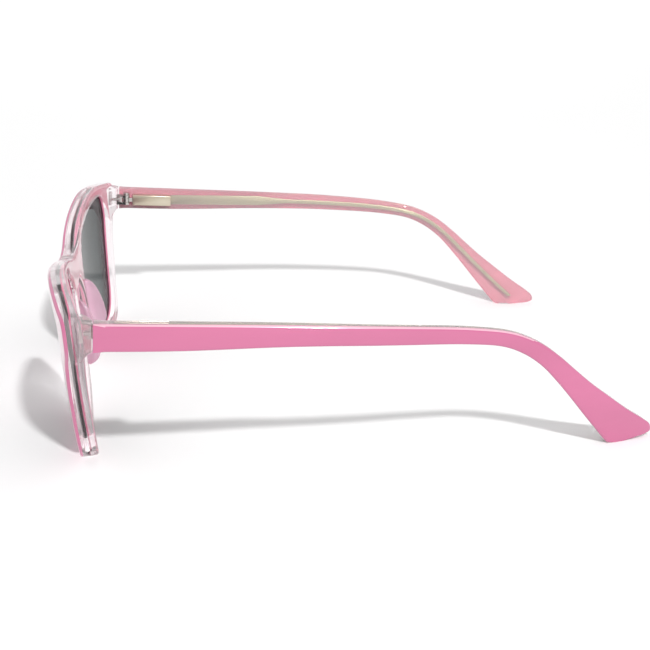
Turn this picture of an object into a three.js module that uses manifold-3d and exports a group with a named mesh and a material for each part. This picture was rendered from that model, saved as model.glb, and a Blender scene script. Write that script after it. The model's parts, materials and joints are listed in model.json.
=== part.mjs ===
// Cat-eye sunglasses with laminated two-layer frames and sprung temple hinges.
// Millimetres, +Z up. The pair stands on its rims and temple tips with the floor at Z = 0, and the origin is
// in the middle of its footprint. The front faces -Y, the temples run back along +Y, and +X is the wearer's
// left.
import * as THREE from "three";
import { mergeVertices } from "three/addons/utils/BufferGeometryUtils.js";
import Module from "manifold-3d";

const wasm = await Module();
wasm.setup();

// ---- driving dimensions ----

const DEG = Math.PI / 180;
const BOND = 0.06; // glue line between two laminated layers
const RUNNING = 0.06; // clearance round a part that turns or slides

// Shapes are drawn with Y = 0 near the joint of front and temples, then moved so that the origin is central.
const CENTRE_Y = 61.4;

// Front: a slab of two sheets, bent to a gentle face curve and tilted forward at the top.
const FRONT_TILT = 5.4 * DEG;
const FRONT_FOOT_Y = -10.5; // where the middle of the front face would meet the floor
const FRONT_FOOT_Z = -0.1; // what dips below the floor plane is cut off flat, which gives the rims their feet
const FACE_SAG = 5.6; // how far the face has wrapped back at FACE_SPAN either side of the middle
const FACE_SPAN = 60;
const FACE_POWER = 2.4;
const BRIDGE_SET_BACK = 0.7; // the bridge lies back from the rims, by this much in the middle
const BRIDGE_SPREAD = 22;
const RIM_BOW = 0.7; // how far top and bottom edges curve back from mid height
const MID_HEIGHT = 22;
const FACET_SAG = 0.05; // most that a flat facet may stand off the face curve
const PINK_SHEET = 0.8;
const FRONT_DEPTH = 4.7;
const GROOVE_FRONT = 1.95; // the lens groove lies in the clear sheet, between these depths
const GROOVE_BACK = 3.05;
const GROOVE_REACH = 0.9; // how far the groove cuts into the rim
const GROOVE_STEP = 0.01; // run of a groove's side wall
const LENS_REACH = 0.75;
const LENS_BEVEL = 0.2;
const FACE_ROUND = { run: 0.5, edge: 0.6, opening: 0.4 }; // how the front's edges round over
const BACK_ROUND = { run: 0.9, edge: 0.7, opening: 0.5 };

// Hinge axis of the left temple, and the temple's fall towards its tip.
const AXIS = new THREE.Vector3(62.6, 2.5, 37.4);
const TEMPLE_FALL = 3.2 * DEG;
const JOINT_PLANE = -2.32; // front end of the temple, measured from the hinge axis
const JOINT_GAP = 0.3;

// Temple cross-section.
const PINK_SKIN = 0.95;
const TEMPLE_EDGE = 0.7;

// Spring hinge: knuckles, slider, housing, all measured from the hinge axis.
const WELD = 0.1; // joined shapes of one piece run this far into each other
const KNUCKLE_R = 1.15;
const HINGE_HALF = 1.6; // half the height of the knuckle stack and of the housing
const EYE_HALF = 0.62;
const SCREW_R = 0.55;
const SCREW_HEAD_R = 0.95;
const SCREW_HEAD_H = 0.45;
const HOUSING_START = 2.1;
const HOUSING_END = 14.2;
const HOUSING_INNER = -1.15; // towards the head
const HOUSING_OUTER = 1.7; // sunk into the temple
const BORE_HALF = 0.78;
const BORE_END = 13.5;
const SHANK_HALF = 0.62;
const SHANK_END = 5.2;
const ROD_R = 0.32;
const ROD_HEAD_R = 0.6;
const ROD_HEAD_START = 12.2;
const ROD_HEAD_END = 12.7;
const STOP_START = 6.9;
const STOP_END = 7.5;
const STOP_SLACK = 0.02;
const COIL_R = 0.56;
const COIL_WIRE_R = 0.11;
const COIL_TURNS = 7;
const COIL_SLACK = 0.03;

// Core wire inside the temple.
const CORE_THICK = 0.8;
const CORE_PLATE = 3.0;
const CORE_WIRE = 1.25;
const CORE_NECK = [42, 49]; // where the plate narrows to the wire
const CORE_DEPTH = [[14, 2.95], [42, 2.25], [78, 1.85], [140, 1.8]]; // in from the temple's outer face
const CORE_END = 0.82; // share of the temple's length
const CORE_STEPS = 30;

// ---- materials ----

const paint = (color, roughness, metalness, opacity = 1) =>
  new THREE.MeshStandardMaterial({ color, roughness, metalness, opacity, transparent: opacity < 1 });
const PINK = paint(0xe882aa, 0.25, 0);
const CRYSTAL = paint(0xf3dfe4, 0.1, 0, 0.45);
const SMOKE = paint(0x5a6668, 0.08, 0, 0.85);
const NICKEL = paint(0xc9c3a6, 0.3, 1);
const STEEL = paint(0xb9bbbd, 0.35, 1);

// ---- solids ----

// A geometry's triangles as a manifold solid.
function solidOf(geometry) {
  const bare = new THREE.BufferGeometry();
  bare.setAttribute("position", geometry.getAttribute("position").clone());
  if (geometry.index) bare.setIndex(geometry.index.clone());
  const merged = mergeVertices(bare, 1e-4);
  return new wasm.Manifold(
    new wasm.Mesh({
      numProp: 3,
      vertProperties: new Float32Array(merged.attributes.position.array),
      triVerts: new Uint32Array(merged.index.array),
    }),
  );
}

// A manifold solid as a geometry with flat-shaded faces.
function geometryOf(solid) {
  const mesh = solid.getMesh();
  const geometry = new THREE.BufferGeometry();
  geometry.setAttribute("position", new THREE.BufferAttribute(new Float32Array(mesh.vertProperties), 3));
  geometry.setIndex(new THREE.BufferAttribute(new Uint32Array(mesh.triVerts), 1));
  const flat = geometry.toNonIndexed();
  flat.computeVertexNormals();
  return flat;
}

const joined = (first, ...rest) =>
  geometryOf(rest.reduce((sum, g) => sum.add(solidOf(g)), solidOf(first)));
const cut = (body, ...tools) =>
  geometryOf(tools.reduce((left, g) => left.subtract(solidOf(g)), solidOf(body)));

// A box given by its lowest and highest corners.
function block(low, high) {
  const size = high.map((v, i) => v - low[i]);
  return new THREE.BoxGeometry(...size).translate(...low.map((v, i) => v + size[i] / 2));
}

// A cylinder along Z from z0 to z1.
const postZ = (r, z0, z1, sides = 18) =>
  new THREE.CylinderGeometry(r, r, z1 - z0, sides).rotateX(Math.PI / 2).translate(0, 0, (z0 + z1) / 2);

// A cylinder along Y from y0 to y1.
const postY = (r, y0, y1, sides = 12) =>
  new THREE.CylinderGeometry(r, r, y1 - y0, sides).translate(0, (y0 + y1) / 2, 0);

// A closed solid through rings of equal point count, which turn clockwise seen from the last ring.
function loft(rings) {
  const n = rings[0].length;
  const points = rings.flat();
  const index = [];
  for (let k = 0; k + 1 < rings.length; k++)
    for (let i = 0; i < n; i++) {
      const [a, b] = [k * n + i, k * n + ((i + 1) % n)];
      index.push(a, a + n, b, b, a + n, b + n);
    }
  const middle = (ring) => ring.reduce((sum, p) => sum.add(p), new THREE.Vector3()).divideScalar(n);
  const [first, last] = [points.length, points.length + 1];
  const end = (rings.length - 1) * n;
  for (let i = 0; i < n; i++) {
    index.push(first, i, (i + 1) % n);
    index.push(last, end + ((i + 1) % n), end + i);
  }
  points.push(middle(rings[0]), middle(rings.at(-1)));
  return new THREE.BufferGeometry().setFromPoints(points).setIndex(index);
}

// ---- the front's outlines ----

// Points of a smooth curve through the given points, in the plane of the front.
function smooth(points, perSpan, closed) {
  const knots = points.map(([x, v]) => new THREE.Vector3(x, v, 0));
  const curve = new THREE.CatmullRomCurve3(knots, closed, "centripetal");
  const sampled = curve.getPoints(perSpan * (closed ? points.length : points.length - 1));
  if (closed) sampled.pop();
  return sampled.map((p) => new THREE.Vector2(p.x, p.y));
}

// Left half of the outer outline, from the middle of the bridge's underside to the middle of its top.
const OUTER_HALF = [
  [0, 30.7], [3.4, 29.6], [6.4, 25.4], [8.6, 18.5], [11.6, 10.8], [17, 4.7], [25, 1.2], [36, -0.4],
  [44, -0.3], [51, 1], [54.8, 5], [57, 10.5], [59.9, 18], [62.3, 25], [64.6, 29.8], [67, 32.8], [67.9, 34.6],
  [68, 39.6], [66.9, 41.1], [62, 42.2], [54, 43.5], [44, 44.2], [30, 42.7], [15, 40], [7, 38], [0, 37.4],
];
// Left lens opening, anticlockwise seen from the front.
const OPENING = [
  [36, 3.2], [46.8, 3.9], [51.6, 7.6], [54.6, 14.5], [57.8, 25], [59.6, 33], [58.4, 38], [54, 40], [44, 40.4],
  [30, 39], [18, 36.7], [13.3, 33], [12.2, 26], [13.4, 18.6], [16.8, 11], [24, 5.3],
];

const mirrored = (points) => points.map((p) => new THREE.Vector2(-p.x, p.y)).reverse();
const outerLeft = smooth(OUTER_HALF, 3, false);
const outerOutline = [...outerLeft.slice(0, -1), ...mirrored(outerLeft).slice(0, -1)];
const openingLeft = smooth(OPENING, 3, true);
const openings = [openingLeft, mirrored(openingLeft)];

// The outline moved along its own normals: out is positive.
function moved(outline, out) {
  return outline.map((p, i) => {
    const along = outline[(i + 1) % outline.length].clone().sub(outline.at(i - 1)).normalize();
    return new THREE.Vector2(p.x + along.y * out, p.y - along.x * out);
  });
}

// How far the face lies back from its foremost plane.
function faceCurve(x, v) {
  const wrap = FACE_SAG * (Math.abs(x) / FACE_SPAN) ** FACE_POWER;
  const bridge = BRIDGE_SET_BACK * Math.exp(-((x / BRIDGE_SPREAD) ** 2));
  const bow = RIM_BOW * (v / MID_HEIGHT - 1) ** 2;
  return wrap + bridge + bow;
}

// Triangles between an outline and its holes, split until each lies within FACET_SAG of the face curve.
// Points made by the splitting are added to the list.
function capFaces(points, sizes) {
  let at = 0;
  const parts = sizes.map((size) => points.slice(at, (at += size)));
  let faces = THREE.ShapeUtils.triangulateShape(parts[0], parts.slice(1));
  const sag = ([a, b]) => {
    const [p, q] = [points[a], points[b]];
    const chord = (faceCurve(p.x, p.y) + faceCurve(q.x, q.y)) / 2;
    return Math.abs(chord - faceCurve((p.x + q.x) / 2, (p.y + q.y) / 2));
  };
  for (;;) {
    const edges = faces.flatMap(([a, b, c]) => [[a, b], [b, c], [c, a]]);
    const worst = edges.reduce((best, edge) => (sag(edge) > sag(best) ? edge : best));
    if (sag(worst) <= FACET_SAG) return faces;
    const [p, q] = worst;
    const middle = points.push(points[p].clone().add(points[q]).divideScalar(2)) - 1;
    faces = faces.flatMap((face) => {
      if (!face.includes(p) || !face.includes(q)) return [face];
      return [face.map((v) => (v === p ? middle : v)), face.map((v) => (v === q ? middle : v))];
    });
  }
}

// A sheet of the front between levels. Each level has its depth behind the front face and how far its outer
// edge and its openings stand off the nominal outlines (out is positive for both).
function sheet(outer, holes, levels) {
  const loops = [outer, ...holes];
  const sizes = loops.map((loop) => loop.length);
  const size = sizes.reduce((sum, n) => sum + n);
  const flat = levels.map(({ edge = 0, opening = 0 }) =>
    loops.flatMap((loop, k) => moved(loop, k ? opening : edge)));
  const points = [];
  const index = [];
  const raise = (list, depth) => {
    for (const p of list) points.push(new THREE.Vector3(p.x, depth + faceCurve(p.x, p.y), p.y));
  };
  flat.forEach((ring, level) => raise(ring, levels[level].depth));
  for (let level = 0; level + 1 < levels.length; level++) {
    let start = level * size;
    for (const n of sizes) {
      for (let i = 0; i < n; i++) {
        const [a, b] = [start + i, start + ((i + 1) % n)];
        if (start % size) index.push(a, b, a + size, b, b + size, a + size);
        else index.push(a, a + size, b, b, a + size, b + size);
      }
      start += n;
    }
  }
  for (const level of [0, levels.length - 1]) {
    const cap = [...flat[level]];
    const faces = capFaces(cap, sizes);
    const added = points.length;
    raise(cap.slice(size), levels[level].depth);
    const at = (i) => (i < size ? level * size + i : added + i - size);
    for (const [a, b, c] of faces) index.push(...(level ? [a, c, b] : [a, b, c]).map(at));
  }
  return new THREE.BufferGeometry().setFromPoints(points).setIndex(index);
}

const pinkSheet = sheet(outerOutline, openings, [
  { depth: 0, edge: -FACE_ROUND.edge, opening: FACE_ROUND.opening },
  { depth: FACE_ROUND.run },
  { depth: PINK_SHEET },
]);

const crystalSheet = sheet(outerOutline, openings, [
  { depth: PINK_SHEET + BOND },
  { depth: GROOVE_FRONT },
  { depth: GROOVE_FRONT + GROOVE_STEP, opening: GROOVE_REACH },
  { depth: GROOVE_BACK, opening: GROOVE_REACH },
  { depth: GROOVE_BACK + GROOVE_STEP },
  { depth: FRONT_DEPTH - BACK_ROUND.run },
  { depth: FRONT_DEPTH, edge: -BACK_ROUND.edge, opening: BACK_ROUND.opening },
]);

const lensFront = GROOVE_FRONT + GROOVE_STEP + BOND;
const lensBack = GROOVE_BACK - BOND;
const lens = sheet(moved(openingLeft, LENS_REACH), [], [
  { depth: lensFront, edge: -LENS_BEVEL },
  { depth: lensFront + LENS_BEVEL },
  { depth: lensBack - LENS_BEVEL },
  { depth: lensBack, edge: -LENS_BEVEL },
]);

// ---- nose pads ----

// A wedge behind the nasal rim, in the front's frame. Its base lies on the crystal sheet's back face, and its
// crest stands back furthest at one height, from where it tapers up and down.
const PAD_CREST = 15.5;
const PAD_UP = 11.5;
const PAD_DOWN = 5;
const PAD_STANDS = 4.1; // how far its crest stands back
const PAD_WIDTH = 2.6;
const PAD_TIP = 0.16; // least share of the full wedge, at its two ends
const PAD_SLIMMEST = 0.45; // least share of the full width
const PAD_STEPS = 12;
// Its side towards the nose follows the rim: sideways place at the crest, its slope and its curve.
const PAD_SIDE = [10.5, -0.29, 0.009];
// Section: share of the width away from the nose, and share of the height.
const PAD_SECTION = [
  [0, 0], [0.25, 0.5], [0.75, 0.9], [1.1, 1], [1.4, 0.9], [1.45, 0.6], [1.25, 0.25], [1, 0],
];

function nosePad() {
  const depth = FRONT_DEPTH + BOND;
  const ring = (t) => {
    const share = Math.max(PAD_TIP, Math.sqrt(1 - t * t));
    const rise = t * (t > 0 ? PAD_UP : PAD_DOWN);
    const v = PAD_CREST + rise;
    const noseSide = PAD_SIDE[0] + PAD_SIDE[1] * rise + PAD_SIDE[2] * rise * rise;
    const width = PAD_WIDTH * (PAD_SLIMMEST + (1 - PAD_SLIMMEST) * share);
    return PAD_SECTION.map(([across, back]) => {
      const x = noseSide + across * width;
      return new THREE.Vector3(x, depth + faceCurve(x, v) + back * PAD_STANDS * share, v);
    });
  };
  const steps = Array.from({ length: PAD_STEPS + 1 }, (_, k) => -Math.cos((Math.PI * k) / PAD_STEPS));
  return loft(steps.map(ring));
}

// ---- temple outlines, in the hinge's frame: Y back along the temple, Z up the axis ----

// Matching points of the upper and lower edge.
const TEMPLE_EDGES = [
  [[JOINT_PLANE, 3.2], [JOINT_PLANE, -3.35]],
  [[17, 3.15], [17, -3.15]],
  [[42, 3.05], [42, -2.15]],
  [[67, 2.65], [67, -1.9]],
  [[84.2, 1.8], [83.2, -2.2]],
  [[94.2, 0.3], [91.9, -3.2]],
  [[101.3, -2.6], [97.5, -5.4]],
  [[106.8, -6.3], [102.3, -8.6]],
  [[111.5, -10.1], [106.4, -12.5]],
  [[116.5, -14.1], [110.6, -17]],
  [[122, -18], [114.5, -21.4]],
  [[127.6, -21.9], [118.3, -25.6]],
  [[132.6, -25], [121.5, -29.1]],
  [[134.8, -26.7], [122.9, -30.4]],
  [[135.1, -28.3], [125.2, -31]],
  [[133.4, -29.4], [127.8, -30.8]],
];
function edgeCurve(side) {
  const knots = TEMPLE_EDGES.map((pair) => new THREE.Vector3(0, ...pair[side]));
  return new THREE.CatmullRomCurve3(knots, false, "centripetal");
}
const upperEdge = edgeCurve(0);
const lowerEdge = edgeCurve(1);

// Value at y of straight runs through the given [y, value] stations.
function between(stations, y) {
  const k = stations.findIndex(([at]) => at >= y);
  if (k === 0) return stations[0][1];
  if (k < 0) return stations.at(-1)[1];
  const [[y0, a], [y1, b]] = [stations[k - 1], stations[k]];
  return a + ((b - a) * (y - y0)) / (y1 - y0);
}

// Outer face of the temple, sideways from the hinge axis: nearly straight, then drawn in round the head.
const OUTER_AT_JOINT = 4.9;
const OUTER_SLOPE = 0.027;
const DRAW_IN_START = 58;
const DRAW_IN_RUN = 76;
const DRAW_IN = 10;
const DRAW_IN_POWER = 1.56;
const THICKNESS = [[0, 3.9], [33, 3.5], [60, 2.85], [95, 2.7], [140, 2.6]];
function outerFace(y) {
  const past = Math.max(0, (y - DRAW_IN_START) / DRAW_IN_RUN);
  return OUTER_AT_JOINT - OUTER_SLOPE * (y - JOINT_PLANE) - DRAW_IN * past ** DRAW_IN_POWER;
}

// One ring across the temple at share t of its length, between two depths in from the outer face. The two
// corners at the outer or the inner depth are quarter circles.
function templeRing(t, outerDepth, innerDepth, roundOuter) {
  const top = upperEdge.getPoint(t);
  const low = lowerEdge.getPoint(t);
  const height = top.distanceTo(low);
  const up = top.clone().sub(low).normalize();
  const radius = Math.min(TEMPLE_EDGE, height / 3);
  const at = (along, depth) => {
    const p = low.clone().addScaledVector(up, along);
    p.x = outerFace(p.y) - depth;
    return p;
  };
  const [rounded, plain, inward] = roundOuter ? [outerDepth, innerDepth, 1] : [innerDepth, outerDepth, -1];
  const arc = [0, 45, 90].map((a) => [radius * (1 - Math.cos(a * DEG)), radius * (1 - Math.sin(a * DEG))]);
  const lower = arc.map(([along, depth]) => at(along, rounded + inward * depth));
  const upper = arc.map(([along, depth]) => at(height - along, rounded + inward * depth)).reverse();
  const ring = [at(0, plain), ...lower, ...upper, at(height, plain)];
  return roundOuter ? ring : ring.reverse();
}

const TEMPLE_STEPS = 2 * (TEMPLE_EDGES.length - 1);
const shares = Array.from({ length: TEMPLE_STEPS + 1 }, (_, k) => k / TEMPLE_STEPS);
const thickness = (t) => between(THICKNESS, upperEdge.getPoint(t).y);
const templePinkBlank = loft(shares.map((t) => templeRing(t, 0, PINK_SKIN, true)));
const templeCrystalBlank = loft(shares.map((t) => templeRing(t, PINK_SKIN + BOND, thickness(t), false)));

// ---- core wire ----

// Share of the temple's length at which the middle of its height is at y.
function shareAt(y) {
  let [low, high] = [0, 1];
  while (high - low > 1e-6) {
    const middle = (low + high) / 2;
    if (upperEdge.getPoint(middle).y + lowerEdge.getPoint(middle).y < 2 * y) low = middle;
    else high = middle;
  }
  return low;
}

const coreShares = Array.from({ length: CORE_STEPS + 1 }, (_, k) => {
  const start = shareAt(HOUSING_END + RUNNING);
  return start + ((CORE_END - start) * k) / CORE_STEPS;
});

// Plate and wire along the middle of the temple's height, through the given shares of its length.
function coreBody(clearance, along) {
  const half = CORE_THICK / 2 + clearance;
  const neck = [[CORE_NECK[0], CORE_PLATE], [CORE_NECK[1], CORE_WIRE]];
  const ring = (t) => {
    const top = upperEdge.getPoint(t);
    const low = lowerEdge.getPoint(t);
    const middle = top.clone().add(low).divideScalar(2);
    const up = top.clone().sub(low).normalize();
    const reach = between(neck, middle.y) / 2 + clearance;
    const depth = between(CORE_DEPTH, middle.y);
    return [[-1, 1], [1, 1], [1, -1], [-1, -1]].map(([rise, out]) => {
      const p = middle.clone().addScaledVector(up, rise * reach);
      p.x = outerFace(p.y) - depth + out * half;
      return p;
    });
  };
  return loft(along.map(ring));
}
const core = coreBody(0, coreShares);
const coreChannel = coreBody(BOND, [shareAt(HOUSING_END - 1), ...coreShares, CORE_END + 0.003]);

// ---- spring hinge, about the axis ----

const SHAFT_HOLE = SCREW_R + RUNNING;
const housing = cut(
  block([HOUSING_INNER, HOUSING_START, -HINGE_HALF], [HOUSING_OUTER, HOUSING_END, HINGE_HALF]),
  block([-BORE_HALF, HOUSING_START - 1, -BORE_HALF], [BORE_HALF, BORE_END, BORE_HALF]),
);
const housingPocket = block(
  [HOUSING_INNER - 1, HOUSING_START - WELD, -HINGE_HALF - BOND],
  [HOUSING_OUTER + BOND, HOUSING_END + BOND, HINGE_HALF + BOND],
);
const slider = cut(
  joined(
    postZ(KNUCKLE_R, -EYE_HALF, EYE_HALF),
    block([-SHANK_HALF, 0, -EYE_HALF], [SHANK_HALF, SHANK_END, EYE_HALF]),
    postY(ROD_R, SHANK_END - WELD, ROD_HEAD_START + WELD),
    postY(ROD_HEAD_R, ROD_HEAD_START, ROD_HEAD_END),
  ),
  postZ(SHAFT_HOLE, -HINGE_HALF, HINGE_HALF),
);
const STOP_HALF = BORE_HALF - STOP_SLACK;
const springStop = cut(
  block([-STOP_HALF, STOP_START, -STOP_HALF], [STOP_HALF, STOP_END, STOP_HALF]),
  postY(ROD_R + RUNNING, STOP_START - 1, STOP_END + 1),
);

class Coil extends THREE.Curve {
  getPoint(t, target = new THREE.Vector3()) {
    const angle = 2 * Math.PI * COIL_TURNS * t;
    const inset = COIL_WIRE_R + COIL_SLACK;
    const [from, to] = [STOP_END + inset, ROD_HEAD_START - inset];
    return target.set(COIL_R * Math.cos(angle), from + (to - from) * t, COIL_R * Math.sin(angle));
  }
}
function coilSpring() {
  const curve = new Coil();
  const section = new THREE.Shape();
  section.absarc(0, 0, COIL_WIRE_R, 0, 2 * Math.PI);
  return new THREE.ExtrudeGeometry(section, {
    steps: COIL_TURNS * 8,
    curveSegments: 2,
    extrudePath: curve,
    bevelEnabled: false,
  });
}

// Front leaf: two knuckles on a base plate in the joint, held by a neck and a cross plate sunk in the front's
// end block.
const LEAF_INNER = -0.8;
const LEAF_OUTER = 0.4;
const PLATE_FRONT = -3;
const NECK_HALF = 0.35;
const CROSS_FRONT = -5.5;
const CROSS_BACK = -5.1;
const CROSS_LOW = -1.8;
const CROSS_HIGH = 2.3;
const CROSS_OUTER = 1.2;
const KNUCKLE_BACK = -KNUCKLE_R - 2 * RUNNING;
const knuckle = (z0, z1) =>
  joined(postZ(KNUCKLE_R, z0, z1), block([LEAF_INNER, KNUCKLE_BACK - WELD, z0], [LEAF_OUTER, 0, z1]));

// Plate, neck and cross plate, grown by a clearance.
function anchor(grow, back) {
  const grown = (low, high) => block(low.map((v) => v - grow), high.map((v) => v + grow));
  return joined(
    grown([LEAF_INNER, PLATE_FRONT, -HINGE_HALF], [LEAF_OUTER, back, HINGE_HALF]),
    grown([LEAF_INNER, CROSS_BACK - WELD, -NECK_HALF], [LEAF_OUTER, PLATE_FRONT + WELD, NECK_HALF]),
    grown([LEAF_INNER, CROSS_FRONT, CROSS_LOW], [CROSS_OUTER, CROSS_BACK, CROSS_HIGH]),
  );
}

const leaf = cut(
  joined(
    knuckle(EYE_HALF + RUNNING, HINGE_HALF),
    knuckle(-HINGE_HALF, -EYE_HALF - RUNNING),
    anchor(0, KNUCKLE_BACK),
  ),
  postZ(SHAFT_HOLE, -2 * HINGE_HALF, 2 * HINGE_HALF),
);
const leafSlot = anchor(BOND, 1);
const SCREW_REST = HINGE_HALF + RUNNING;
const SCREW_STANDS = 0.1; // its end stands out of the lower knuckle
const SLOT_HALF = 0.13;
const screw = cut(
  joined(
    postZ(SCREW_R, -HINGE_HALF - SCREW_STANDS, SCREW_REST + WELD),
    postZ(SCREW_HEAD_R, SCREW_REST, SCREW_REST + SCREW_HEAD_H),
  ),
  block(
    [-SLOT_HALF, -SCREW_HEAD_R, SCREW_REST + SCREW_HEAD_H / 2],
    [SLOT_HALF, SCREW_HEAD_R, SCREW_REST + SCREW_HEAD_H + 1],
  ),
);

// Room in the temple's inner face for the knuckles, the screw's head and the leaf's neck.
const ROOM_R = KNUCKLE_R + 0.25;
const ROOM_LOW = -HINGE_HALF - 0.3;
const ROOM_HIGH = HINGE_HALF + 0.9;
const ROOM_INNER = -3; // past the temple's inner face
const knuckleRoom = joined(
  postZ(ROOM_R, ROOM_LOW, ROOM_HIGH),
  block([ROOM_INNER, JOINT_PLANE - 1, ROOM_LOW], [ROOM_R, HOUSING_START, ROOM_HIGH]),
);

// ---- end block of the front, in the hinge's frame ----

const BLOCK_ROUND = 0.7;
const BLOCK_SWEEP = 0.62; // how much the outer side draws in as the foot sweeps down
const BLOCK_LEVEL = -3.6; // the foot draws in below this height
// Sections from the joint face forwards: distance in front of it, then where each of the four sides lies.
const BLOCK_SECTIONS = [
  { ahead: 0, inner: 1.05, outer: 4.92, low: -3.4, high: 3.2 },
  { ahead: 0.8, inner: 0, outer: 5.05, low: -3.9, high: 3.4 },
  { ahead: 1.7, inner: -1.2, outer: 5.15, low: -5.2, high: 3.5 },
  { ahead: 2.4, inner: -1.8, outer: 4.8, low: -7, high: 3.6 },
  { ahead: 4, inner: -1.8, outer: 4.6, low: -7.4, high: 3.6 },
];

// Its underside sweeps down into the rim.
function endBlock() {
  const ring = ({ ahead, inner, outer, low, high }) => {
    const y = JOINT_PLANE - JOINT_GAP - ahead;
    const lean = Math.max(0, BLOCK_LEVEL - low) * BLOCK_SWEEP;
    const section = [
      [inner, low + BLOCK_ROUND],
      [inner + BLOCK_ROUND, low],
      [outer - BLOCK_ROUND - lean, low],
      [outer - lean, low + BLOCK_ROUND],
      [outer, high - BLOCK_ROUND],
      [outer - BLOCK_ROUND, high],
      [inner + BLOCK_ROUND, high],
      [inner, high - BLOCK_ROUND],
    ];
    return section.map(([x, z]) => new THREE.Vector3(x, y, z)).reverse();
  };
  return loft(BLOCK_SECTIONS.map(ring));
}

// ---- frames ----

const front = new THREE.Group();
front.position.set(0, FRONT_FOOT_Y, FRONT_FOOT_Z);
front.rotation.x = FRONT_TILT;
front.updateMatrix();

function hingeFrame(side) {
  const group = new THREE.Group();
  group.position.set(side * AXIS.x, AXIS.y, AXIS.z);
  group.rotation.x = -TEMPLE_FALL;
  group.scale.x = side;
  group.updateMatrix();
  return group;
}

// A geometry moved by a matrix; a mirroring matrix also turns its triangles round.
function placed(geometry, matrix) {
  const made = (geometry.index ? geometry.toNonIndexed() : geometry.clone()).applyMatrix4(matrix);
  if (matrix.determinant() > 0) return made;
  const { array } = made.attributes.position;
  for (let i = 0; i < array.length; i += 9) {
    const [first, second] = [array.slice(i, i + 3), array.slice(i + 3, i + 6)];
    array.set(second, i);
    array.set(first, i + 3);
  }
  return made;
}

const intoFront = front.matrix.clone().invert();
const floor = block([-90, -90, -10], [90, 200, 0]);
const floorInFront = placed(floor, intoFront);
const floorInHinge = placed(floor, hingeFrame(1).matrix.clone().invert());

const pinkFront = cut(pinkSheet, floorInFront);

// Crystal sheet with both end blocks, slotted for the leaves.
function crystalFront() {
  const ends = [1, -1].map((side) => intoFront.clone().multiply(hingeFrame(side).matrix));
  const whole = joined(crystalSheet, ...ends.map((end) => placed(endBlock(), end)));
  return cut(whole, ...ends.map((end) => placed(leafSlot, end)), floorInFront);
}

const templePink = cut(templePinkBlank, floorInHinge);
const templeCrystal = cut(templeCrystalBlank, housingPocket, coreChannel, knuckleRoom, floorInHinge);

// ---- assembly ----

const glasses = new THREE.Group();
const drawing = new THREE.Group();
drawing.position.y = -CENTRE_Y;
glasses.add(drawing);
drawing.add(front);

function add(group, name, geometry, material) {
  const mesh = new THREE.Mesh(geometry, material);
  mesh.name = name;
  group.add(mesh);
}

add(front, "front_pink_layer", pinkFront, PINK);
add(front, "front_crystal_layer", crystalFront(), CRYSTAL);
for (const [side, word] of [[1, "left"], [-1, "right"]]) {
  const facing = new THREE.Group();
  facing.scale.x = side;
  front.add(facing);
  add(facing, `lens_${word}`, lens, SMOKE);
  add(facing, `nose_pad_${word}`, nosePad(), CRYSTAL);

  const hinge = hingeFrame(side);
  drawing.add(hinge);
  add(hinge, `hinge_leaf_${word}`, leaf, NICKEL);
  add(hinge, `hinge_screw_${word}`, screw, STEEL);
  add(hinge, `hinge_slider_${word}`, slider, STEEL);
  add(hinge, `hinge_spring_${word}`, coilSpring(), STEEL);
  add(hinge, `spring_stop_${word}`, springStop, STEEL);
  add(hinge, `spring_housing_${word}`, housing, NICKEL);
  add(hinge, `core_wire_${word}`, core, NICKEL);
  add(hinge, `temple_crystal_layer_${word}`, templeCrystal, CRYSTAL);
  add(hinge, `temple_pink_layer_${word}`, templePink, PINK);
}

export default glasses;
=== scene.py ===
"""Looks of the cat-eye sunglasses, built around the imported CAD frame.

The acetate sheets, lenses, nose pads and hinge metal are made again as fine meshes in the places of their
CAD nodes, and every visible surface gets a procedural material. Shapes are drawn in millimetres, in the plane
of the front and in the plane of each temple, and the last step of each takes it to the frame's metres.
"""

import json
import math

import bmesh
import bpy
import numpy as np
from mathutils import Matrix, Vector
from mathutils.geometry import delaunay_2d_cdt


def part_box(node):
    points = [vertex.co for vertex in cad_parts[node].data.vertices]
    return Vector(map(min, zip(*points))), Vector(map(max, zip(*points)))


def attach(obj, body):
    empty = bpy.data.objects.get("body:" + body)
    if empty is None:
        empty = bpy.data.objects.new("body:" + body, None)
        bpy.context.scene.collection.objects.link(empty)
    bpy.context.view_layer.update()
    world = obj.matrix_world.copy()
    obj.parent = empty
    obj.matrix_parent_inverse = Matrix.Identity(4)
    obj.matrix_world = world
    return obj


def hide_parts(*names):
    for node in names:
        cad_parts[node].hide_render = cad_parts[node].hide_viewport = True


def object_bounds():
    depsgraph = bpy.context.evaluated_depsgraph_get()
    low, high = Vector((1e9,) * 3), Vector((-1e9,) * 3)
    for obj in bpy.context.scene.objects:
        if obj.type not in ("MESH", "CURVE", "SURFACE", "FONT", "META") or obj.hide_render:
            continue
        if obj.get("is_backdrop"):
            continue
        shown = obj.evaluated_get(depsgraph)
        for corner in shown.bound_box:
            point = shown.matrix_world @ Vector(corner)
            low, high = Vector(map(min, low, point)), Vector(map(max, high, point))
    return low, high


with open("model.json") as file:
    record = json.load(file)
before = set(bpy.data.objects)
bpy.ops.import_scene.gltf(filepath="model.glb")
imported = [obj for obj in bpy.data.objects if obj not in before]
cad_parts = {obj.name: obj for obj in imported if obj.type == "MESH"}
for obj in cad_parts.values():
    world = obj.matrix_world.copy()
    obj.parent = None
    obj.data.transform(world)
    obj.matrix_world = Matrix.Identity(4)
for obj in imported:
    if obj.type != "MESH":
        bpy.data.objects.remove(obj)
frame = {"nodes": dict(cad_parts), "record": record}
cad_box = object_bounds()

MM = 0.001
SIDES = {"left": 1, "right": -1}

# ---- driving dimensions, as in the CAD ----

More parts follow.
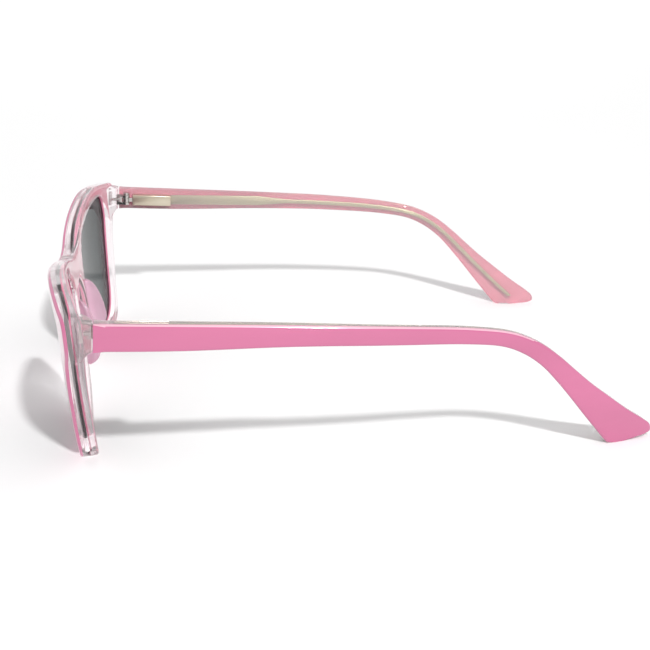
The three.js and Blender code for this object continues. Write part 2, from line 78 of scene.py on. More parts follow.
JOINTS = {joint["name"]: joint for joint in frame["record"]["behaviour"]["joints"]}
fold = JOINTS["left_fold"]
HINGE = [value / MM for value in fold["pos_m"]]
TEMPLE_FALL = math.atan2(fold["axis"][1], fold["axis"][2])

FRONT_TILT = math.radians(5.4)
FRONT_FOOT = (HINGE[1] - 13, -0.1)  # where the middle of the front face would meet the floor: Y, Z
FRONT_DEPTH = 4.7
PINK_SHEET = 0.8
GROOVE = (1.95, 3.05)
GROOVE_REACH = 0.9
GROOVE_STEP = 0.02
LENS_REACH = 0.75
LENS_BEVEL = 0.2
LENS_PLAY = (0.07, 0.06)  # between the lens and the groove's front and back
FACE_ROUND, FACE_MOUTH = 0.55, 0.4  # rounding of the front's face, at its outline and at the openings
BACK_ROUND, BACK_MOUTH = 0.95, 0.6
PINK_LIGHT_RUN = 0.5  # how far behind the lens groove an opening's wall is painted pink: painted light of the pink sheet seen through the clear acetate
JOINT_PLANE = -2.32
JOINT_GAP = 0.3
PINK_SKIN = 0.95

TRIM = 0.02  # every outline and face lies this far inside the CAD's
TEMPLE_TRIM = 0.04  # the same for the outline of a temple, whose tip bends tightly
MELT = 0.12  # how far a clear layer reaches into the pink one that it is fused to
SKIM = 0.02  # how far its edge stays inside the pink one's edge there

# ---- curves ----


def smooth_curve(points, per_span, closed):
    """Centripetal Catmull-Rom curve through plane points, with per_span samples in each span."""
    knots = np.array(points, float)
    if closed:
        padded = np.vstack([knots[-1], knots, knots[0], knots[1]])
    else:
        padded = np.vstack([2 * knots[0] - knots[1], knots, 2 * knots[-1] - knots[-2]])
    t = (np.arange(per_span) / per_span)[:, None]
    out = []
    for a, b, c, d in zip(padded, padded[1:], padded[2:], padded[3:]):
        d0, d1, d2 = (max(np.linalg.norm(q - p) ** 0.5, 1e-4) for p, q in ((a, b), (b, c), (c, d)))
        start = ((b - a) / d0 - (c - a) / (d0 + d1) + (c - b) / d1) * d1
        end = ((c - b) / d1 - (d - b) / (d1 + d2) + (d - c) / d2) * d1
        cubic = 2 * b - 2 * c + start + end
        square = 3 * (c - b) - 2 * start - end
        out.append(b + t * (start + t * (square + t * cubic)))
    curve = np.vstack(out)
    return curve if closed else np.vstack([curve, knots[-1]])


def offset(outline, out):
    """A closed outline moved outwards along its own normals by out: one value, or one per point."""
    along = np.roll(outline, -1, 0) - np.roll(outline, 1, 0)
    along /= np.linalg.norm(along, axis=1)[:, None]
    normal = np.stack([along[:, 1], -along[:, 0]], 1)
    return outline + normal * np.reshape(out, (-1, 1))


def inside(points, outline):
    """Which points lie inside a closed outline."""
    hit = np.zeros(len(points), bool)
    x, y = points.T
    for (x0, y0), (x1, y1) in zip(outline, np.roll(outline, -1, 0)):
        if y0 != y1:
            hit ^= ((y0 > y) != (y1 > y)) & (x < (x1 - x0) * (y - y0) / (y1 - y0) + x0)
    return hit


def rounding(radius, steps=5):
    """(depth, inset) pairs of a quarter circle, from the face to the side."""
    angles = [math.pi / 2 * k / steps for k in range(steps + 1)]
    return [(radius * (1 - math.cos(a)), radius * (1 - math.sin(a))) for a in angles]


def mirrored(points):
    return (points * (-1, 1))[::-1]


# ---- solids ----


def cap_faces(loops, spacing):
    """Triangles that fill the first loop outside the others, with a grid of points for an even surface."""
    low, high = loops[0].min(0), loops[0].max(0)
    xs, ys = (np.arange(low[i], high[i], spacing) for i in (0, 1))
    grid = np.array([(x + (j % 2) * spacing / 2, y) for j, y in enumerate(ys) for x in xs])
    keep = inside(grid, loops[0])
    for hole in loops[1:]:
        keep &= ~inside(grid, hole)
    grid = grid[keep]
    rim = np.vstack(loops)
    clear = 0.45 * spacing
    nearest = np.array([np.min(np.sum((rim - p) ** 2, 1)) for p in grid])
    grid = grid[nearest > clear**2]
    edges = []
    start = 0
    for loop in loops:
        n = len(loop)
        edges += [(start + i, start + (i + 1) % n) for i in range(n)]
        start += n
    points = [Vector(p) for p in np.vstack([rim, grid])]
    made, _, faces, origins, _, _ = delaunay_2d_cdt(points, edges, [], 0, 1e-6)
    back = [o[0] if o else -1 for o in origins]
    flat = np.array([(v.x, v.y) for v in made])
    middles = np.array([flat[list(f)].mean(0) for f in faces])
    keep = inside(middles, loops[0])
    for hole in loops[1:]:
        keep &= ~inside(middles, hole)
    return grid, [[back[v] for v in f] for f, k in zip(faces, keep) if k]


def sheet(outline, holes, levels, place, spacing=1.2):
    """A slab with shaped edges. Each level is (depth, edge, opening): how deep it lies, and how far its outer
    edge and its openings stand off the outlines. place(plane points, depth) gives points in the frame.
    """
    loops = [outline, *holes]
    rings = [[offset(outline, edge), *(offset(h, opening) for h in holes)] for _, edge, opening in levels]
    verts = [place(np.vstack(ring), depth) for (depth, _, _), ring in zip(levels, rings)]
    faces = []
    size = len(verts[0])
    for k in range(len(levels) - 1):
        start = k * size
        for loop in loops:
            n = len(loop)
            for i in range(n):
                a, b = start + i, start + (i + 1) % n
                faces.append((a, b, b + size, a + size))
            start += n
    count = len(levels) * size
    for k in (0, len(levels) - 1):
        grid, cap = cap_faces(rings[k], spacing)
        verts.append(place(grid, levels[k][0]))
        faces += [[k * size + v if v < size else count + v - size for v in f] for f in cap]
        count += len(grid)
    return np.vstack(verts), faces


def loft(rings):
    """A closed solid through rings of equal point count, with flat ends."""
    n = len(rings[0])
    faces = []
    for k in range(len(rings) - 1):
        for i in range(n):
            a, b = k * n + i, k * n + (i + 1) % n
            faces.append((a, b, b + n, a + n))
    faces.append(list(range(n)))
    faces.append([(len(rings) - 1) * n + i for i in range(n)])
    return np.vstack(rings), faces


def grounded(shape):
    """The shape with what dips below the floor pressed flat on it."""
    points, faces = shape
    points[:, 2] = np.maximum(points[:, 2], 0)
    return points, faces


def solid(name, shape):
    """A mesh object from (points in the frame's metres, faces), facing outwards."""
    points, faces = shape
    mesh = bpy.data.meshes.new(name)
    mesh.from_pydata([tuple(p) for p in points], [], [tuple(f) for f in faces])
    bm = bmesh.new()
    bm.from_mesh(mesh)
    bmesh.ops.remove_doubles(bm, verts=bm.verts, dist=1e-7)
    bmesh.ops.recalc_face_normals(bm, faces=bm.faces)
    bm.to_mesh(mesh)
    bm.free()
    obj = bpy.data.objects.new(name, mesh)
    bpy.context.scene.collection.objects.link(obj)
    return obj


def applied(obj):
    """The object with its modifiers made part of its mesh."""
    bpy.context.view_layer.update()
    shown = obj.evaluated_get(bpy.context.evaluated_depsgraph_get())
    made = bpy.data.meshes.new_from_object(shown)
    obj.modifiers.clear()
    obj.data = made
    return obj


def combined(obj, other, operation):
    """The object joined with, or cut by, another one, which is used up."""
    change = obj.modifiers.new("change", "BOOLEAN")
    change.operation = operation
    change.solver = "EXACT"
    change.object = other
    applied(obj)
    bpy.data.objects.remove(other)
    return obj


def finished(obj, look, sharp=38):
    """The object smooth up to an angle between faces, with one material."""
    mesh = obj.data
    mesh.polygons.foreach_set("use_smooth", [True] * len(mesh.polygons))
    mesh.set_sharp_from_angle(angle=math.radians(sharp))
    mesh.materials.clear()
    mesh.materials.append(look)
    return obj


def tinted(obj, look, chosen):
    """A further material on the faces that a test picks out."""
    obj.data.materials.append(look)
    for face in obj.data.polygons:
        if chosen(face):
            face.material_index = len(obj.data.materials) - 1
    return obj


def clear_to_light(obj):
    """Clear acetate, and thin pink, let the lamp through, so they cast no shadow of their own."""
    obj.visible_shadow = False
    return obj


def stands_for(obj, node, body):
    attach(obj, body)
    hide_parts(node)


# ---- materials ----


def material(name, **inputs):
    """A Principled material with socket values set on the shader itself; returns it with its nodes."""
    made = bpy.data.materials.new(name)
    made.use_nodes = True
    shader = made.node_tree.nodes["Principled BSDF"]
    for key, value in inputs.items():
        shader.inputs[key.replace("_", " ")].default_value = value
    return made, made.node_tree, shader


def ramp(tree, source, stops):
    """A colour ramp after a value socket; stops are (position, colour)."""
    node = tree.nodes.new("ShaderNodeValToRGB")
    elements = node.color_ramp.elements
    while len(elements) < len(stops):
        elements.new(0.5)
    for element, (at, colour) in zip(elements, stops):
        element.position = at
        element.color = (*colour, 1)
    tree.links.new(source, node.inputs["Fac"])
    return node.outputs["Color"]


def noise(tree, scale, stretch=(1, 1, 1), detail=3):
    """Noise over the object's own coordinates, stretched by a factor along each axis."""
    place = tree.nodes.new("ShaderNodeTexCoord")
    mapping = tree.nodes.new("ShaderNodeMapping")
    mapping.inputs["Scale"].default_value = stretch
    node = tree.nodes.new("ShaderNodeTexNoise")
    node.inputs["Scale"].default_value = scale
    node.inputs["Detail"].default_value = detail
    tree.links.new(place.outputs["Object"], mapping.inputs["Vector"])
    tree.links.new(mapping.outputs["Vector"], node.inputs["Vector"])
    return node.outputs["Fac"]


def along(tree, axis, start, end):
    """0 to 1 along an axis of the object's own coordinates, between two places in metres."""
    place = tree.nodes.new("ShaderNodeTexCoord")
    split = tree.nodes.new("ShaderNodeSeparateXYZ")
    span = tree.nodes.new("ShaderNodeMapRange")
    span.inputs["From Min"].default_value = start
    span.inputs["From Max"].default_value = end
    tree.links.new(place.outputs["Object"], split.inputs["Vector"])
    tree.links.new(split.outputs[axis], span.inputs["Value"])
    return span.outputs["Result"]


def bump(tree, shader, height, strength, distance):
    node = tree.nodes.new("ShaderNodeBump")
    node.inputs["Strength"].default_value = strength
    node.inputs["Distance"].default_value = distance
    tree.links.new(height, node.inputs["Height"])
    tree.links.new(node.outputs["Normal"], shader.inputs["Normal"])


def shades(colour, spread):
    """Three shades of a colour for a ramp, from darker to lighter."""
    steps = ((0.3, -1), (0.5, 0), (0.72, 1))
    return [(at, tuple(c * (1 + spread * k) for c in colour)) for at, k in steps]


def pink_acetate(name, colour):
    made, tree, shader = material(name, Roughness=0.2, IOR=1.47, Coat_Weight=1.0, Coat_Roughness=0.03)
    streaks = noise(tree, 55, (1.6, 0.35, 1.6), 4)
    tree.links.new(ramp(tree, streaks, shades(colour, 0.05)), shader.inputs["Base Color"])
    bump(tree, shader, noise(tree, 900, detail=2), 0.04, 0.0002)
    return made


def crystal_acetate(name, colour, clearness):
    made, tree, shader = material(name, Roughness=0.03, IOR=1.4, Transmission_Weight=clearness)
    haze = noise(tree, 70, (1.4, 0.5, 1.4), 4)
    tree.links.new(ramp(tree, haze, shades(colour, 0.015)), shader.inputs["Base Color"])
    bump(tree, shader, noise(tree, 500, detail=2), 0.05, 0.0002)
    return made


def milky_acetate():
    made, tree, shader = material("milky_acetate", Roughness=0.18, IOR=1.4, Transmission_Weight=0.55)
    haze = noise(tree, 120, detail=4)
    colour = ramp(tree, haze, [(0.3, (0.76, 0.50, 0.62)), (0.7, (0.82, 0.58, 0.69))])
    tree.links.new(colour, shader.inputs["Base Color"])
    bump(tree, shader, noise(tree, 600, detail=2), 0.05, 0.0002)
    return made


def smoke_lens():
    """Smoke grey, a little lighter at the foot."""
    made, tree, shader = material("smoke_lens", Roughness=0.02, IOR=1.2, Transmission_Weight=1.0)
    low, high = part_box("lens_left")
    rise = along(tree, "Z", low[2], high[2])
    colour = ramp(tree, rise, [(0.05, (0.034, 0.052, 0.053)), (0.95, (0.012, 0.018, 0.020))])
    tree.links.new(colour, shader.inputs["Base Color"])
    return made


def lens_edge():
    made, tree, shader = material("smoke_lens_edge", Roughness=0.9, Specular_IOR_Level=0.1)
    colour = ramp(tree, noise(tree, 200), [(0.3, (0.010, 0.004, 0.005)), (0.7, (0.016, 0.006, 0.008))])
    tree.links.new(colour, shader.inputs["Base Color"])
    return made


def metal(name, dark, light, rough):
    made, tree, shader = material(name, Metallic=1.0, Roughness=rough)
    colour = ramp(tree, noise(tree, 300, (1, 0.2, 1), 4), [(0.3, dark), (0.7, light)])
    tree.links.new(colour, shader.inputs["Base Color"])
    bump(tree, shader, noise(tree, 2500, (1, 0.08, 1), 2), 0.08, 0.0001)
    return made


PINK = pink_acetate("pink_acetate", (0.56, 0.135, 0.275))
# A lighter pink for the front sheet's back, fused to the clear layer: partly how it looks through the clear
# layer, partly painted light.
PINK_BACK_WITH_PAINTED_LIGHT = pink_acetate("pink_acetate_fused_side_painted_light", (0.64, 0.19, 0.27))
# Another pink for the temples' inner faces, behind the clear layer: partly how they look through it, partly
# painted light.
PINK_INNER_WITH_PAINTED_LIGHT = pink_acetate("pink_acetate_temple_inner_painted_light", (0.56, 0.15, 0.21))
# A pale pink for the rounded upper outer edge of the temples: a painted highlight.
PINK_EDGE_HIGHLIGHT = pink_acetate("pink_acetate_painted_highlight", (0.78, 0.44, 0.54))
CRYSTAL = crystal_acetate("crystal_acetate", (0.99, 0.92, 0.945), 0.82)
CLEAREST = crystal_acetate("crystal_acetate_polished", (0.99, 0.95, 0.965), 1.0)
# Pink painted on the clear wall behind the lens: painted light of the pink sheet seen through the clear
# acetate.
PAINTED_PINK_LIGHT = crystal_acetate("crystal_acetate_painted_pink_light", (0.72, 0.20, 0.33), 0.3)
MILKY = milky_acetate()
SMOKE = smoke_lens()
SMOKE_EDGE = lens_edge()
NICKEL = metal("nickel_silver", (0.60, 0.53, 0.40), (0.74, 0.68, 0.55), 0.28)
KHAKI = metal("core_metal", (0.42, 0.40, 0.24), (0.52, 0.50, 0.32), 0.35)
STEEL = metal("bright_steel", (0.50, 0.48, 0.46), (0.66, 0.64, 0.62), 0.25)
# A darker copy of the bright steel, used on the left hinge anchor only: painted shade.
SHADED_STEEL = metal("steel_painted_shade", (0.36, 0.31, 0.30), (0.48, 0.42, 0.40), 0.3)

# ---- the front, drawn in its own plane ----

PER_SPAN = 7
FACE_SAG, FACE_SPAN, FACE_POWER = 5.6, 60, 2.4
BRIDGE_SET_BACK, BRIDGE_SPREAD = 0.7, 22
RIM_BOW, MID_HEIGHT = 0.7, 22

# Left half of the outer outline, from the middle of the bridge's underside to the middle of its top.
OUTER_HALF = [
    (0, 30.7), (3.4, 29.6), (6.4, 25.4), (8.6, 18.5), (11.6, 10.8), (17, 4.7), (25, 1.2), (36, -0.4),
    (44, -0.3), (51, 1), (54.8, 5), (57, 10.5), (59.9, 18), (62.3, 25), (64.6, 29.8), (67, 32.8),
    (67.9, 34.6), (68, 39.6), (66.9, 41.1), (62, 42.2), (54, 43.5), (44, 44.2), (30, 42.7), (15, 40),
    (7, 38), (0, 37.4),
]
# Left lens opening, anticlockwise seen from the front.
OPENING = [
    (36, 3.2), (46.8, 3.9), (51.6, 7.6), (54.6, 14.5), (57.8, 25), (59.6, 33), (58.4, 38), (54, 40),
    (44, 40.4), (30, 39), (18, 36.7), (13.3, 33), (12.2, 26), (13.4, 18.6), (16.8, 11), (24, 5.3),
]

outer_left = smooth_curve(OUTER_HALF, PER_SPAN, False)
outer_outline = offset(np.vstack([outer_left[:-1], mirrored(outer_left)[:-1]]), -TRIM)
opening_left = smooth_curve(OPENING, PER_SPAN, True)
openings = {"left": opening_left, "right": mirrored(opening_left)}


def face_curve(x, v):
    """How far the face lies back from its foremost plane."""
    wrap = FACE_SAG * (np.abs(x) / FACE_SPAN) ** FACE_POWER
    bridge = BRIDGE_SET_BACK * np.exp(-((x / BRIDGE_SPREAD) ** 2))
    return wrap + bridge + RIM_BOW * (v / MID_HEIGHT - 1) ** 2


def on_front(points, depth):
    """Plane points of the front at a depth behind its face, in the frame."""
    x, v = points.T
    y = depth + face_curve(x, v)
    cos, sin = math.cos(FRONT_TILT), math.sin(FRONT_TILT)
    return MM * np.stack([x, FRONT_FOOT[0] + y * cos - v * sin, FRONT_FOOT[1] + y * sin + v * cos], 1)


def pink_front_shape():
    face, mouth = rounding(FACE_ROUND), rounding(FACE_MOUTH)
    levels = [(depth + TRIM, -edge, opening) for (depth, edge), (_, opening) in zip(face, mouth)]
    levels.append((PINK_SHEET, 0, 0))
    return grounded(sheet(outer_outline, openings.values(), levels, on_front))


def crystal_front_shape():
    levels = [
        (PINK_SHEET - MELT, -SKIM, SKIM),
        (GROOVE[0], -SKIM, SKIM),
        (GROOVE[0] + GROOVE_STEP, -SKIM, GROOVE_REACH),
        (GROOVE[1], -SKIM, GROOVE_REACH),
        (GROOVE[1] + GROOVE_STEP, -SKIM, SKIM),
        (GROOVE[1] + PINK_LIGHT_RUN, -SKIM, SKIM),
    ]
    back, mouth = rounding(BACK_ROUND), rounding(BACK_MOUTH)
    for (depth, edge), (_, opening) in zip(reversed(back), reversed(mouth)):
        levels.append((FRONT_DEPTH - TRIM - depth, -edge - SKIM, opening + SKIM))
    return grounded(sheet(outer_outline, openings.values(), levels, on_front))


def lens_shape(opening):
    front, back = GROOVE[0] + LENS_PLAY[0], GROOVE[1] - LENS_PLAY[1]
    levels = [
        (front, -LENS_BEVEL, 0),
        (front + LENS_BEVEL, 0, 0),
        (back - LENS_BEVEL, 0, 0),
        (back, -LENS_BEVEL, 0),
    ]
    return sheet(offset(opening, LENS_REACH), [], levels, on_front)


# ---- nose pads ----

PAD_CREST, PAD_UP, PAD_DOWN = 15.5, 11.5, 5
PAD_STANDS = 4.1
PAD_WIDTH = 2.6
PAD_TIP = 0.16
PAD_SLIMMEST = 0.45
PAD_RINGS = 40
PAD_SIDE = (10.5, -0.29, 0.009)
PAD_SECTION = [(0, 0), (0.25, 0.5), (0.75, 0.9), (1.1, 1), (1.4, 0.9), (1.45, 0.6), (1.25, 0.25), (1, 0)]


def nose_pad_shape(side):
    """A wedge behind the nasal rim, with an oval back and tapered ends."""
    section = smooth_curve(PAD_SECTION, 5, False)
    rings = []
    for k in range(PAD_RINGS + 1):
        t = -math.cos(math.pi * k / PAD_RINGS)
        share = max(PAD_TIP, math.sqrt(1 - t * t))
        rise = t * (PAD_UP if t > 0 else PAD_DOWN)
        nose_side = PAD_SIDE[0] + PAD_SIDE[1] * rise + PAD_SIDE[2] * rise**2
        width = PAD_WIDTH * (PAD_SLIMMEST + (1 - PAD_SLIMMEST) * share)
        x = nose_side + section[:, 0] * width
        depth = FRONT_DEPTH + np.maximum(section[:, 1], 0) * PAD_STANDS * share
        rings.append(on_front(np.stack([side * x, np.full(len(x), PAD_CREST + rise)], 1), depth))
    return loft(rings)


# ---- the temples, drawn in the hinge's frame: back along the temple, and up ----

# Matching points of the upper and the lower edge.
UPPER_EDGE = [
    (JOINT_PLANE, 3.2), (17, 3.15), (42, 3.05), (67, 2.65), (84.2, 1.8), (94.2, 0.3), (101.3, -2.6),
    (106.8, -6.3), (111.5, -10.1), (116.5, -14.1), (122, -18), (127.6, -21.9), (132.6, -25),
    (134.8, -26.7), (135.1, -28.3), (133.4, -29.4),
]
LOWER_EDGE = [
    (JOINT_PLANE, -3.35), (17, -3.15), (42, -2.15), (67, -1.9), (83.2, -2.2), (91.9, -3.2), (97.5, -5.4),
    (102.3, -8.6), (106.4, -12.5), (110.6, -17), (114.5, -21.4), (118.3, -25.6), (121.5, -29.1),
    (122.9, -30.4), (125.2, -31), (127.8, -30.8),
]
TEMPLE_EDGE = 0.7
OUTER_AT_JOINT = 4.9
OUTER_SLOPE = 0.027
DRAW_IN_START, DRAW_IN_RUN, DRAW_IN, DRAW_IN_POWER = 58, 76, 10, 1.56
THICKNESS = [(0, 3.9), (33, 3.5), (60, 2.85), (95, 2.7), (140, 2.6)]

lower_curve = smooth_curve(LOWER_EDGE, PER_SPAN, False)
upper_curve = smooth_curve(UPPER_EDGE, PER_SPAN, False)
temple_outline = np.vstack([lower_curve, upper_curve[::-1]])
at_butt = temple_outline[:, 0] < JOINT_PLANE + 0.01
soften = np.where(at_butt, 0.0, 1.0)


def outer_face(y):
    past = np.maximum(0, (y - DRAW_IN_START) / DRAW_IN_RUN)
    return OUTER_AT_JOINT - OUTER_SLOPE * (y - JOINT_PLANE) - DRAW_IN * past**DRAW_IN_POWER


def in_hinge(side):
    """Placer of points (outwards, back, up) about the hinge axis of a side."""
    cos, sin = math.cos(TEMPLE_FALL), math.sin(TEMPLE_FALL)

    def place(x, y, z):
        across = SIDES[side] * (HINGE[0] + x)
        return MM * np.stack([across, HINGE[1] + y * cos + z * sin, HINGE[2] - y * sin + z * cos], 1)

    return place


def temple_shapes(side):
    """The pink and the clear layer. A level lies (share of the thickness, length) in from the outer face."""
    put = in_hinge(side)

    def place(points, depth):
        y, z = points.T
        share, length = depth
        thick = np.interp(y, *zip(*THICKNESS))
        return put(outer_face(y) - share * thick - length, y, z)

    edge = rounding(TEMPLE_EDGE)
    pink = [((0, depth + TRIM), -inset * soften - TEMPLE_TRIM, 0) for depth, inset in edge]
    pink.append(((0, PINK_SKIN), -TEMPLE_TRIM, 0))
    clear = [((0, PINK_SKIN - MELT), -TEMPLE_TRIM - SKIM, 0)]
    for depth, inset in reversed(edge):
        clear.append(((1, TRIM - depth), -inset * soften - TEMPLE_TRIM - SKIM, 0))
    return [grounded(sheet(temple_outline, [], levels, place, 1.6)) for levels in (pink, clear)]


# ---- end blocks and the room for the knuckles ----

BLOCK_ROUND = 0.7
BLOCK_SWEEP = 0.62
BLOCK_LEVEL = -3.6
# Distance in front of the joint face, then where each of the four sides lies: inner, outer, low, high.
BLOCK_SECTIONS = [
    (0, 1.05, 4.92, -3.4, 3.2), (0.8, 0, 5.05, -3.9, 3.4), (1.7, -1.2, 5.15, -5.2, 3.5),
    (2.4, -1.8, 4.8, -7, 3.6), (4, -1.8, 4.6, -7.4, 3.6),
]
BLOCK_STEPS = 4
BLOCK_RINGS = 17
KNUCKLE_ROOM = 1.4
ROOM_LOW, ROOM_HIGH = -1.9, 2.5
ROOM_BACK = 2.1
ROOM_REACH = 3  # past the joint and past the inner face


def block_ring(inner, outer, low, high):
    """A rectangle with round corners, whose outer foot draws in as it sweeps down."""
    lean = max(0, BLOCK_LEVEL - low) * BLOCK_SWEEP
    r = BLOCK_ROUND
    corners = [
        (inner + r, low + r, 180),
        (outer - lean - r, low + r, 270),
        (outer - r, high - r, 0),
        (inner + r, high - r, 90),
    ]
    ring = []
    for x, z, start in corners:
        for k in range(BLOCK_STEPS + 1):
            angle = math.radians(start + 90 * k / BLOCK_STEPS)
            ring.append((x + r * math.cos(angle), z + r * math.sin(angle)))
    return np.array(ring)


def end_block_shape(side):
    put = in_hinge(side)
    stations = np.array(BLOCK_SECTIONS)
    rings = []
    for ahead in np.linspace(0, stations[-1, 0], BLOCK_RINGS):
        sides = [np.interp(ahead, stations[:, 0], stations[:, k]) for k in range(1, 5)]
        ring = block_ring(*sides)
        rings.append(put(ring[:, 0], np.full(len(ring), JOINT_PLANE - JOINT_GAP - ahead), ring[:, 1]))
    return loft(rings)


def knuckle_room_shape(side):
    """A round-ended pocket, open towards the head and the front."""
    put = in_hinge(side)
    r, reach = KNUCKLE_ROOM, ROOM_REACH
    bow = [(r * math.cos(a), r * math.sin(a)) for a in np.linspace(0, math.pi / 2, 9)]
    plan = np.array([(-reach, -reach), (r, -reach), *bow, (0, ROOM_BACK), (-reach, ROOM_BACK)])
    return loft([put(plan[:, 0], plan[:, 1], np.full(len(plan), z)) for z in (ROOM_LOW, ROOM_HIGH)])


# ---- pieces ----

OPENING_NEAR = 1.6  # an opening's wall lies this close to a point of its outline
UPRIGHT = 0.5  # the normal of a wall's face has a smaller part than this towards the front or the back
ALIKE = 0.86  # cosine of the largest angle between directions that count as the same

def refined(name, node, look, body, width=0.05):
    """A metal CAD node made again with softened edges."""
    source = frame["nodes"][node]
    obj = bpy.data.objects.new(name, source.data.copy())
    bpy.context.scene.collection.objects.link(obj)
    bm = bmesh.new()
    bm.from_mesh(obj.data)
    bmesh.ops.remove_doubles(bm, verts=bm.verts, dist=1e-6)
    bmesh.ops.dissolve_limit(bm, angle_limit=math.radians(1), verts=bm.verts, edges=bm.edges)
    bm.to_mesh(obj.data)
    bm.free()
    soft = obj.modifiers.new("soft", "BEVEL")
    soft.width = width * MM
    soft.segments = 2
    soft.angle_limit = math.radians(40)
    stands_for(finished(applied(obj), look), node, body)


def faces_towards(direction):
    """A test for faces within about 30 degrees of a direction."""
    return lambda face: face.normal.dot(Vector(direction).normalized()) > ALIKE


def in_front(face):
    """A face's middle in the plane of the front, and its depth behind the face there."""
    x, y, z = face.center / MM
    cos, sin = math.cos(FRONT_TILT), math.sin(FRONT_TILT)
    y, z = y - FRONT_FOOT[0], z - FRONT_FOOT[1]
    place = np.array((x, z * cos - y * sin))
    return place, y * cos + z * sin - face_curve(*place)


def on_opening_wall(face):
    """Whether a face of the clear front lies on an opening's wall, just behind the lens groove."""
    place, depth = in_front(face)
    nearest = min(np.min(np.linalg.norm(opening - place, axis=1)) for opening in openings.values())
    behind_lens = GROOVE[1] < depth < GROOVE[1] + PINK_LIGHT_RUN
    return abs(face.normal.y) < UPRIGHT and behind_lens and nearest < OPENING_NEAR


def beside_lens_edge(face):
    """Whether a face of the clear front is level with the lens' edge, in the groove or on the outer wall."""
    _, depth = in_front(face)
    return abs(face.normal.y) < UPRIGHT and GROOVE[0] < depth < GROOVE[1]


def front_pieces():
    pink = clear_to_light(finished(solid("pink_front", pink_front_shape()), PINK))
    # The back of the front's pink sheet gets the lighter pink: partly painted light.
    tinted(pink, PINK_BACK_WITH_PAINTED_LIGHT, faces_towards((0, 1, 0)))
    stands_for(pink, "front_pink_layer", "front")
    crystal = solid("crystal_front", crystal_front_shape())
    for side in SIDES:
        combined(crystal, solid("end_block", end_block_shape(side)), "UNION")
    clear_to_light(finished(crystal, CRYSTAL))
    # The openings' walls just behind the lens get the painted pink light.
    tinted(crystal, PAINTED_PINK_LIGHT, on_opening_wall)
    tinted(crystal, CLEAREST, beside_lens_edge)
    stands_for(crystal, "front_crystal_layer", "front")
    for side, opening in openings.items():
        lens = finished(solid(f"smoke_lens_{side}", lens_shape(opening)), SMOKE)
        tinted(lens, SMOKE_EDGE, lambda face: abs(face.normal.y) < UPRIGHT)
        stands_for(lens, f"lens_{side}", "front")
        pad = finished(solid(f"oval_pad_{side}", nose_pad_shape(SIDES[side])), MILKY)
        stands_for(clear_to_light(pad), f"nose_pad_{side}", "front")


def temple_pieces(side):
    body = f"{side}_temple"
    pink_shape, clear_shape = temple_shapes(side)
    pink = finished(solid(f"pink_temple_{side}", pink_shape), PINK)
    # The inner faces get their own pink: partly painted light.
    tinted(pink, PINK_INNER_WITH_PAINTED_LIGHT, faces_towards((-SIDES[side], 0, 0)))
    # The upper outer edge gets the pale pink: painted highlight.
    tinted(pink, PINK_EDGE_HIGHLIGHT, faces_towards((SIDES[side], 0, 1.6)))
    stands_for(pink, f"temple_pink_layer_{side}", body)
    clear = solid(f"crystal_temple_{side}", clear_shape)
    combined(clear, solid("room", knuckle_room_shape(side)), "DIFFERENCE")
    clear_to_light(finished(clear, CRYSTAL))
    stands_for(clear, f"temple_crystal_layer_{side}", body)


def metal_pieces(side):
    # The left anchor is painted darker than the right one: painted shade.
    leaf_look = SHADED_STEEL if side == "left" else STEEL
    refined(f"hinge_anchor_{side}", f"hinge_leaf_{side}", leaf_look, "front")
    refined(f"hinge_pin_{side}", f"hinge_screw_{side}", STEEL, "front", 0.03)
    refined(f"slider_{side}", f"hinge_slider_{side}", STEEL, f"{side}_slider", 0.04)
    refined(f"housing_{side}", f"spring_housing_{side}", NICKEL, f"{side}_temple", 0.15)
    refined(f"core_{side}", f"core_wire_{side}", KHAKI, f"{side}_temple", 0.12)
    for node in ("hinge_spring", "spring_stop"):
        for slot in frame["nodes"][f"{node}_{side}"].material_slots:
            slot.material = STEEL


front_pieces()
for side in SIDES:
    temple_pieces(side)
    metal_pieces(side)

# ---- stage ----

FLOOR_HALF = 4.0
GLOW_FROM, GLOW_TO, GLOW = -0.15, -1.2, 0.3  # along X, and how bright it gets
WORLD_LIGHT = 0.72
KEY_PLACE = (0.505, 0.13, 0.52)
KEY_SIZE, KEY_POWER = 0.045, 6.6
CAMERA_AZIMUTH, CAMERA_ELEVATION = math.radians(83.05), math.radians(19.72)
CAMERA_DISTANCE, CAMERA_LENS = 0.3326, 64.8
CAMERA_TARGET = (0, -0.0020, 0.0142)


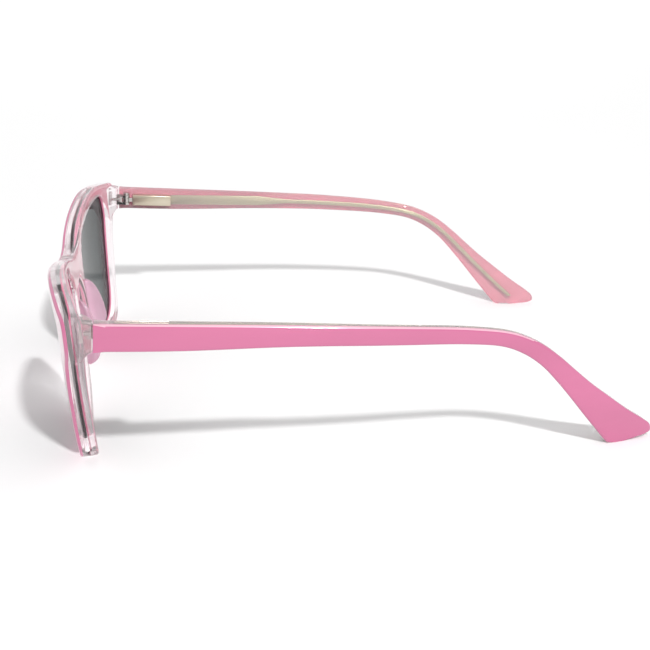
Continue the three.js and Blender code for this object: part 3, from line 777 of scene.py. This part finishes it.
def plain_floor():
    """A pale floor, which glows a little where the lamp's light gets thin behind the object."""
    made, tree, shader = material("floor", Roughness=0.95, Specular_IOR_Level=0.1, Emission_Strength=1.0)
    colour = ramp(tree, noise(tree, 3), [(0.3, (0.90, 0.90, 0.90)), (0.7, (0.91, 0.91, 0.91))])
    glow = ramp(tree, along(tree, "X", GLOW_FROM, GLOW_TO), [(0, (0, 0, 0)), (1, (GLOW, GLOW, GLOW))])
    tree.links.new(colour, shader.inputs["Base Color"])
    tree.links.new(glow, shader.inputs["Emission Color"])
    corners = [(x * FLOOR_HALF, y * FLOOR_HALF, 0) for x, y in ((-1, -1), (1, -1), (1, 1), (-1, 1))]
    finished(solid("floor", (np.array(corners), [(0, 1, 2, 3)])), made)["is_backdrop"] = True


def lamp(name, place, size, power):
    """A round lamp aimed at the object, whose light doesn't fall off with distance."""
    data = bpy.data.lights.new(name, "AREA")
    data.shape = "DISK"
    data.size = size
    data.energy = power
    data.use_nodes = True
    tree = data.node_tree
    fall = tree.nodes.new("ShaderNodeLightFalloff")
    fall.inputs["Strength"].default_value = 1
    tree.links.new(fall.outputs["Constant"], tree.nodes["Emission"].inputs["Strength"])
    obj = bpy.data.objects.new(name, data)
    obj.location = place
    obj.rotation_euler = Vector(place).to_track_quat("Z", "Y").to_euler()
    bpy.context.scene.collection.objects.link(obj)


def studio():
    world = bpy.data.worlds.new("studio")
    world.use_nodes = True
    background = world.node_tree.nodes["Background"]
    background.inputs["Color"].default_value = (1, 1, 1, 1)
    background.inputs["Strength"].default_value = WORLD_LIGHT
    bpy.context.scene.world = world
    lamp("key", KEY_PLACE, KEY_SIZE, KEY_POWER)
    bpy.context.scene.view_settings.view_transform = "Standard"


def camera():
    """The photo's view: a little behind the plane of the front, on the wearer's left."""
    level = math.cos(CAMERA_ELEVATION)
    away = Vector((
        math.sin(CAMERA_AZIMUTH) * level, -math.cos(CAMERA_AZIMUTH) * level, math.sin(CAMERA_ELEVATION),
    ))
    data = bpy.data.cameras.new("camera")
    data.lens = CAMERA_LENS
    data.clip_start = 0.01
    obj = bpy.data.objects.new("camera", data)
    obj.location = Vector(CAMERA_TARGET) + CAMERA_DISTANCE * away
    obj.rotation_euler = (-away).to_track_quat("-Z", "Y").to_euler()
    bpy.context.scene.collection.objects.link(obj)
    bpy.context.scene.camera = obj


plain_floor()
studio()
camera()

visual_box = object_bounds()
boxes = {"cad": cad_box, "visual": visual_box}
{name: [list(map(float, corner)) for corner in box] for name, box in boxes.items()}
